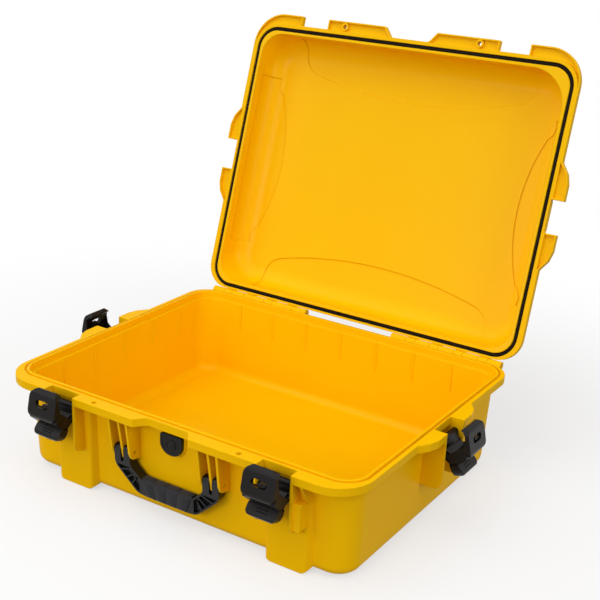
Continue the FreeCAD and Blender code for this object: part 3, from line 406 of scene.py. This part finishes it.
@dataclass(frozen=True)
class Studio:
    """White studio: pale floor, a wide lamp above with three round the case, and the camera."""

    lamps: tuple[Lamp, ...] = (
        Lamp("lamp_above", place=(-0.5, -0.7, 2.6), target=(0.0, 0.05, 0.1),
             wide=2.8, high=2.8, power=28.0),
        Lamp("lamp_front", place=(-0.2, -2.9, 1.2), target=(0.0, -0.2, 0.16),
             wide=1.8, high=0.9, power=25.0),
        Lamp("lamp_left", place=(-2.2, -1.6, 1.4), target=(-0.1, -0.1, 0.14),
             wide=1.0, high=1.2, power=8.0),
        Lamp("lamp_right", place=(2.4, -0.4, 1.5), target=(0.0, 0.0, 0.2),
             wide=0.8, high=1.8, power=16.0),
    )
    # Strength of the surroundings as a light.
    fill: float = 0.50
    # The floor: half its side, its own tone, its glow, and where that turns into plain white.
    floor_half: float = 30.0
    floor_tone: float = 0.34
    floor_lift: float = 0.62
    floor_near: float = 0.45
    floor_far: float = 1.2
    # The camera, solved from the lines of the case in the photograph.
    eye: Point3 = (0.89638, -1.35537, 0.86381)
    yaw: float = 31.89
    pitch: float = 20.2
    roll: float = 2.69
    focal_pixels: float = 1173.85
    frame_pixels: float = 600.0
    sensor_mm: float = 36.0
    view_reach: float = 200.0

    def seen(self, tree: bpy.types.NodeTree) -> bpy.types.NodeSocket:
        """Share that is one for camera, glossy and transmission rays.

        Args:
            tree: Node tree that gets the nodes.

        Returns:
            The socket with the share.
        """
        path = add_node(tree, "ShaderNodeLightPath")
        share = path.outputs["Is Camera Ray"]
        for ray in ("Is Glossy Ray", "Is Transmission Ray"):
            share = add_node(tree, "ShaderNodeMath", links={0: share, 1: path.outputs[ray]},
                             operation="MAXIMUM").outputs[0]
        return share

    def world(self) -> None:
        """Set up even white surroundings, dimmer as a light than as a background."""
        world = bpy.data.worlds.new("studio_world")
        bpy.context.scene.world = world
        world.use_nodes = True
        tree = world.node_tree
        tree.nodes.clear()
        dim = add_node(tree, "ShaderNodeBackground", {"Color": WHITE, "Strength": self.fill})
        white = add_node(tree, "ShaderNodeBackground", {"Color": WHITE, "Strength": 1.0})
        mixed = add_node(tree, "ShaderNodeMixShader",
                         links={0: self.seen(tree), 1: dim.outputs[0], 2: white.outputs[0]})
        add_node(tree, "ShaderNodeOutputWorld", links={"Surface": mixed.outputs[0]})

    def floor(self) -> None:
        """Lay a pale floor that keeps the case's shadow and turns into the white surroundings."""
        half = self.floor_half
        mesh = bpy.data.meshes.new("studio_floor")
        corners = [(-half, -half, 0), (half, -half, 0), (half, half, 0), (-half, half, 0)]
        mesh.from_pydata(corners, [], [(0, 1, 2, 3)])
        floor = bpy.data.objects.new("studio_floor", mesh)
        bpy.context.scene.collection.objects.link(floor)
        material, tree = empty_material("studio_paper")
        tone = self.floor_tone
        seen = self.seen(tree)
        paper = add_node(tree, "ShaderNodeBsdfDiffuse", {"Color": (tone, tone, tone, 1.0)})
        strength = add_node(tree, "ShaderNodeMath", {1: self.floor_lift}, {0: seen},
                            operation="MULTIPLY")
        lift = add_node(tree, "ShaderNodeEmission", links={"Strength": strength.outputs[0]})
        lit = add_node(tree, "ShaderNodeAddShader", links={0: paper.outputs[0], 1: lift.outputs[0]})
        white = add_node(tree, "ShaderNodeEmission", links={"Strength": seen})
        place = add_node(tree, "ShaderNodeTexCoord").outputs["Object"]
        away = add_node(tree, "ShaderNodeVectorMath", links={0: place}, operation="LENGTH")
        share = add_node(tree, "ShaderNodeMapRange",
                         {"From Min": self.floor_near, "From Max": self.floor_far},
                         {"Value": away.outputs["Value"]}, interpolation_type="SMOOTHSTEP")
        mixed = add_node(tree, "ShaderNodeMixShader",
                         links={0: share.outputs["Result"], 1: lit.outputs[0], 2: white.outputs[0]})
        add_node(tree, "ShaderNodeOutputMaterial", links={"Surface": mixed.outputs[0]})
        mesh.materials.append(material)

    def camera(self) -> None:
        """Set up the camera at the photograph's place and angle."""
        yaw, pitch, roll = (math.radians(angle) for angle in (self.yaw, self.pitch, self.roll))
        ahead = Vector((-math.sin(yaw) * math.cos(pitch), math.cos(yaw) * math.cos(pitch),
                        -math.sin(pitch)))
        level = Vector((math.cos(yaw), math.sin(yaw), 0.0))
        upward = level.cross(ahead)
        right = level * math.cos(roll) + upward * math.sin(roll)
        up = upward * math.cos(roll) - level * math.sin(roll)
        data = bpy.data.cameras.new("camera")
        data.sensor_width = self.sensor_mm
        data.lens = data.sensor_width * self.focal_pixels / self.frame_pixels
        data.clip_end = self.view_reach
        camera = bpy.data.objects.new("camera", data)
        turn = Matrix((right, up, -ahead)).transposed().to_4x4()
        camera.matrix_world = Matrix.Translation(self.eye) @ turn
        bpy.context.scene.collection.objects.link(camera)
        bpy.context.scene.camera = camera

    def build(self) -> None:
        """Set up surroundings, floor, lamps and camera."""
        self.world()
        self.floor()
        for lamp in self.lamps:
            lamp.hang()
        self.camera()
        bpy.context.scene.view_settings.view_transform = "Standard"
        LOG.info("studio ready")


def corner_arc(centre: Point2, radius: float, start: float, steps: int) -> list[Point2]:
    """Give the points of a quarter circle.

    Args:
        centre: Centre of the quarter circle.
        radius: Its radius.
        start: Angle of its first point in degrees.
        steps: Number of spans.

    Returns:
        The points, counter-clockwise.
    """
    points = []
    for step in range(steps + 1):
        angle = math.radians(start + 90.0 * step / steps)
        points.append((centre[0] + radius * math.cos(angle), centre[1] + radius * math.sin(angle)))
    return points


def rounded_outline(half: float, low: float, high: float, low_radius: float, high_radius: float,
                    steps: int) -> list[Point2]:
    """Give an upright rectangle with its own corner radius at the bottom and at the top.

    Args:
        half: Half of its width.
        low: Height of its lower edge.
        high: Height of its upper edge.
        low_radius: Radius of the two lower corners.
        high_radius: Radius of the two upper corners.
        steps: Number of spans in each corner.

    Returns:
        The points of the outline, counter-clockwise from its right edge.
    """
    high_x, high_z = half - high_radius, high - high_radius
    low_x, low_z = half - low_radius, low + low_radius
    return (corner_arc((high_x, high_z), high_radius, 0.0, steps)
            + corner_arc((-high_x, high_z), high_radius, 90.0, steps)
            + corner_arc((-low_x, low_z), low_radius, 180.0, steps)
            + corner_arc((low_x, low_z), low_radius, 270.0, steps))


def new_piece(name: str, rings: Sequence[Sequence[Vector]], closed: bool, body: str,
              finish: Finish) -> bpy.types.Object:
    """Make a smooth mesh from rings of points and put it on its body.

    Args:
        name: Name of the piece.
        rings: Rings with the same number of points each, in millimetres.
        closed: True where the last ring joins the first, False where both ends get a cap.
        body: Body that the piece rides on.
        finish: Finish that covers it.

    Returns:
        The new object.
    """
    mesh = bpy.data.meshes.new(name)
    shape = bmesh.new()
    rows = [[shape.verts.new(point * MM) for point in ring] for ring in rings]
    count = len(rows[0])
    spans = len(rows) if closed else len(rows) - 1
    for i in range(spans):
        near, far = rows[i], rows[(i + 1) % len(rows)]
        for j in range(count):
            k = (j + 1) % count
            shape.faces.new((near[j], near[k], far[k], far[j]))
    if not closed:
        shape.faces.new(rows[0][::-1])
        shape.faces.new(rows[-1])
    bmesh.ops.recalc_face_normals(shape, faces=shape.faces)
    shape.to_mesh(mesh)
    shape.free()
    # The caps, which have a whole ring of corners, stay flat.
    for face in mesh.polygons:
        face.use_smooth = len(face.vertices) != count
    piece = bpy.data.objects.new(name, mesh)
    bpy.context.scene.collection.objects.link(piece)
    mesh.materials.append(finish.material())
    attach(piece, body)
    LOG.info("made %s", name)
    return piece


def dress(node: bpy.types.Object, finish: Finish) -> None:
    """Give a carried-over solid its finish.

    Args:
        node: Object of the solid.
        finish: Finish that covers it.
    """
    node.data.materials.clear()
    node.data.materials.append(finish.material())
    LOG.info("dressed %s in %s", node.name, finish.name)


@dataclass(frozen=True)
class Assembly(ABC):
    """A part of the case that is dressed as one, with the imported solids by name."""

    nodes: dict[str, bpy.types.Object]

    @abstractmethod
    def build(self) -> None:
        """Dress the solids and make the pieces."""


@dataclass(frozen=True)
class Shells(Assembly):
    """The two yellow mouldings: satin outside, and polished inside with a lighter yellow that is
    painted light.
    """

    # A face of the hollow's floor or top has at least this share of its normal upright.
    flat_share: float = 0.9

    def facing(self, spot: Vector, normal: Vector) -> Facing:
        """Tell whether a face belongs to the hollow of its shell.

        Args:
            spot: Middle of the face in millimetres, with the case closed.
            normal: Its normal, with the case closed.

        Returns:
            The side that the face lies on.
        """
        within_x = abs(spot.x) < CASE.wall_x - CASE.wall / 2
        within_y = abs(spot.y) < CASE.wall_y - CASE.wall / 2
        inward = normal.x * spot.x + normal.y * spot.y < 0
        if within_x and within_y and (inward or abs(normal.z) > self.flat_share):
            return Facing.INSIDE
        return Facing.OUTSIDE

    def paint(self, node: bpy.types.Object, to_closed: Matrix) -> None:
        """Dress one shell, with the polished finish and its painted lighter yellow on the faces of
        its hollow.

        Args:
            node: Object of the shell.
            to_closed: Matrix that takes its points back to the closed case.
        """
        mesh = node.data
        mesh.materials.clear()
        # The hollow's faces take the lighter yellow, which is painted light.
        finishes = {Facing.OUTSIDE: SHELL_OUTSIDE, Facing.INSIDE: SHELL_INSIDE_PAINTED_LIGHTER}
        for side in Facing:
            mesh.materials.append(finishes[side].material())
        turned_back = to_closed.to_3x3()
        for face in mesh.polygons:
            spot = to_closed @ (face.center / MM)
            face.material_index = self.facing(spot, turned_back @ face.normal).value
        LOG.info("dressed %s in two finishes", node.name)

    def build(self) -> None:
        """Dress the base and the lid."""
        self.paint(self.nodes["base_shell"], Matrix.Identity(4))
        self.paint(self.nodes["lid_shell"], lid_opened().inverted())


@dataclass(frozen=True)
class Seal(Assembly):
    """Rubber cord in the lid's groove: a round crown between two lower lips, all round the rim."""

    # Height of the crown above the lid's face, case closed, and the longest span along the line.
    rise: float = 1.2
    span: float = 40.0
    corner_steps: int = 14
    # Half of the section, case closed: outward from the sealing line, and up from the crown.
    section: tuple[Point2, ...] = (
        (0.0, 0.0), (0.7, 0.16), (1.1, 0.7), (1.45, 1.9), (1.9, 1.45),
        (2.2, 1.1), (2.8, 1.3), (3.05, 2.0), (3.05, 4.55))

    def path(self, away: float) -> list[Point2]:
        """Give the sealing line, moved outward.

        Args:
            away: Distance outward from the middle of the line.

        Returns:
            Points of the closed line.
        """
        half_x, half_y = CASE.seal_half_x + away, CASE.seal_half_y + away
        radius = CASE.seal_radius + away
        points = rounded_outline(half_x, -half_y, half_y, radius, radius, self.corner_steps)
        fine = []
        for here, there in zip(points, points[1:] + points[:1]):
            spans = max(1, round(math.dist(here, there) / self.span))
            for step in range(spans):
                share = step / spans
                fine.append((here[0] + share * (there[0] - here[0]),
                             here[1] + share * (there[1] - here[1])))
        return fine

    def build(self) -> None:
        """Make the cord in place of the plain solid."""
        opened = lid_opened()
        low = CASE.lid_face + self.rise
        both_halves = self.section + tuple((-away, up) for away, up in self.section[:0:-1])
        rings = []
        for away, up in both_halves:
            rings.append([opened @ Vector((x, y, low + up)) for x, y in self.path(away)])
        cord = new_piece("seal_cord", rings, True, "lid", SEAL_CHLOROPRENE)
        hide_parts("lid_gasket")


@dataclass(frozen=True)
class Hinge(Assembly):
    """Two drawn steel rods in the knuckles of base and lid."""

    def build(self) -> None:
        """Dress both rods."""
        for side in SIDES:
            dress(self.nodes["hinge_pin_" + side], PIN_STEEL)


@dataclass(frozen=True)
class Latches(Assembly):
    """Four draw latches: nylon levers, claws and slide locks on drawn steel pins."""

    places: tuple[str, ...] = ("front_left", "front_right", "right", "left")
    mouldings: tuple[str, ...] = ("lever_", "claw_", "slide_lock_")
    pins: tuple[str, ...] = ("lever_pin_", "claw_pin_")

    def build(self) -> None:
        """Dress every piece of the latches."""
        for place in self.places:
            for kind in self.mouldings:
                dress(self.nodes[kind + place], LATCH_NYLON)
            for kind in self.pins:
                dress(self.nodes[kind + place], PIN_STEEL)


@dataclass(frozen=True)
class CarryHandle(Assembly):
    """Nylon bow on two sprung pins, with a soft grip moulded over it that has a few cross seams."""

    # The bow's bar inside the grip: how far its lower edge hangs below the pins, and its height.
    drop: float = 61.0
    bar_height: float = 26.0
    # The grip: half of its depth, how far it stands over the bar, and its section's corner radius.
    half_depth: float = 8.6
    skin: float = 1.6
    radius: float = 6.5
    corner_steps: int = 9
    # Half of its length above the bar, how much less that is below it, how far above and below
    # the bar these two are measured, and the room at each end.
    end_half: float = 45.0
    taper: float = 12.0
    overrun: float = 5.0
    fit: float = 0.05
    # Where its seams are, then a seam from edge to edge, and the rounded end: share of the half
    # length, and how deep it is sunk there.
    seam_shares: tuple[float, ...] = (-0.5, 0.02, 0.5)
    seam: tuple[Point2, ...] = (
        (-0.024, 0.0), (-0.012, 0.32), (0.0, 0.45), (0.012, 0.32), (0.024, 0.0))
    end: tuple[Point2, ...] = ((0.985, 0.0), (0.994, 0.23), (1.0, 0.7))

    def ring(self, share: float, sunk: float) -> list[Vector]:
        """Give one section across the grip.

        Args:
            share: Share of its half length, from -1 at the left to 1 at the right.
            sunk: Depth below the full section.

        Returns:
            Points round the section, where the handle hangs.
        """
        low = CASE.handle_z - self.drop
        bottom = low - self.skin + sunk
        top = low + self.bar_height + self.skin - sunk
        start = low - self.overrun
        reach = self.bar_height + 2 * self.overrun
        radius = self.radius - sunk
        outline = rounded_outline(self.half_depth - sunk, bottom, top, radius, radius,
                                  self.corner_steps)
        leaned = handle_leaned()
        points = []
        for y, z in outline:
            half = self.end_half - self.taper + self.taper * (z - start) / reach - self.fit
            points.append(leaned @ Vector((share * half, CASE.handle_y + y, z)))
        return points

    def build(self) -> None:
        """Dress the bow, its pins and its springs, and make the grip in place of its solid."""
        dress(self.nodes["handle_frame"], HANDLE_NYLON)
        for side in SIDES:
            dress(self.nodes["handle_pin_" + side], PIN_STEEL)
            dress(self.nodes["handle_spring_" + side], PIN_STEEL)
        marks = [(-share, sunk) for share, sunk in reversed(self.end)]
        for middle in self.seam_shares:
            marks += [(middle + share, sunk) for share, sunk in self.seam]
        marks += self.end
        rings = [self.ring(share, sunk) for share, sunk in marks]
        grip = new_piece("soft_grip", rings, False, "handle", GRIP_ELASTOMER)
        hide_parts("handle_grip")


@dataclass(frozen=True)
class PressureValve(Assembly):
    """Pressure valve with a shield-shaped cover: raised rim, sunk panel and round vent cap."""

    # The cover's outline: half of its width and of its height, the radii of its lower and upper
    # corners, and the least radius that the upper ones keep further in.
    half: float = 19.0
    half_height: float = 15.5
    low_radius: float = 17.48
    high_radius: float = 4.0
    least_radius: float = 0.4
    corner_steps: int = 12
    vent_steps: int = 40
    # The cover from its edge to its panel: inward from the outline, and out from the wall.
    rim: tuple[Point2, ...] = (
        (0.0, 0.0), (0.0, 4.1), (0.1, 4.64), (0.36, 4.91), (0.9, 5.0), (3.1, 5.0),
        (3.35, 4.9), (3.6, 4.2), (3.9, 4.1))
    # The vent cap from its foot to its middle: radius, and out from the wall.
    vent: tuple[Point2, ...] = (
        (8.5, 3.6), (8.5, 4.66), (8.2, 4.9), (6.9, 4.9), (6.6, 4.66), (6.5, 4.2),
        (5.6, 4.2), (5.4, 4.74), (4.7, 4.9), (1.0, 5.0))

    def outline(self, inward: float, out: float) -> list[Vector]:
        """Give a ring along the cover's outline.

        Args:
            inward: Distance inward from the outline.
            out: Distance in front of the wall.

        Returns:
            Points of the ring.
        """
        low = CASE.valve_z - self.half_height + inward
        high = CASE.valve_z + self.half_height - inward
        high_radius = max(self.high_radius - inward, self.least_radius)
        points = rounded_outline(self.half - inward, low, high, self.low_radius - inward,
                                 high_radius, self.corner_steps)
        return [Vector((x, CASE.valve_face - out, z)) for x, z in points]

    def circle(self, radius: float, out: float) -> list[Vector]:
        """Give a round ring about the middle of the cover.

        Args:
            radius: Radius of the ring.
            out: Distance in front of the wall.

        Returns:
            Points of the ring.
        """
        points = []
        for step in range(self.vent_steps):
            angle = 2 * math.pi * step / self.vent_steps
            points.append(Vector((radius * math.cos(angle), CASE.valve_face - out,
                                  CASE.valve_z + radius * math.sin(angle))))
        return points

    def build(self) -> None:
        """Dress the valve's inner pieces, and make the cover and its vent cap."""
        for name in ("valve_body", "valve_nut"):
            dress(self.nodes[name], LATCH_NYLON)
        for name in ("valve_ring", "valve_membrane"):
            dress(self.nodes[name], SEAL_CHLOROPRENE)
        rings = [self.outline(inward, out) for inward, out in self.rim]
        cover = new_piece("valve_shield", rings, False, "base", LATCH_NYLON)
        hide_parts("valve_cover")
        rings = [self.circle(radius, out) for radius, out in self.vent]
        new_piece("valve_vent_cap", rings, False, "base", LATCH_NYLON)


def main() -> None:
    """Build and dress the case part by part."""
    logging.basicConfig(level=logging.INFO, format="%(message)s")
    for thing in list(bpy.data.objects):
        bpy.data.objects.remove(thing)
    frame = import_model()
    for assembly in (Shells, Seal, Hinge, Latches, CarryHandle, PressureValve):
        assembly(frame["nodes"]).build()
    Studio().build()


if __name__ == "__main__":
    main()
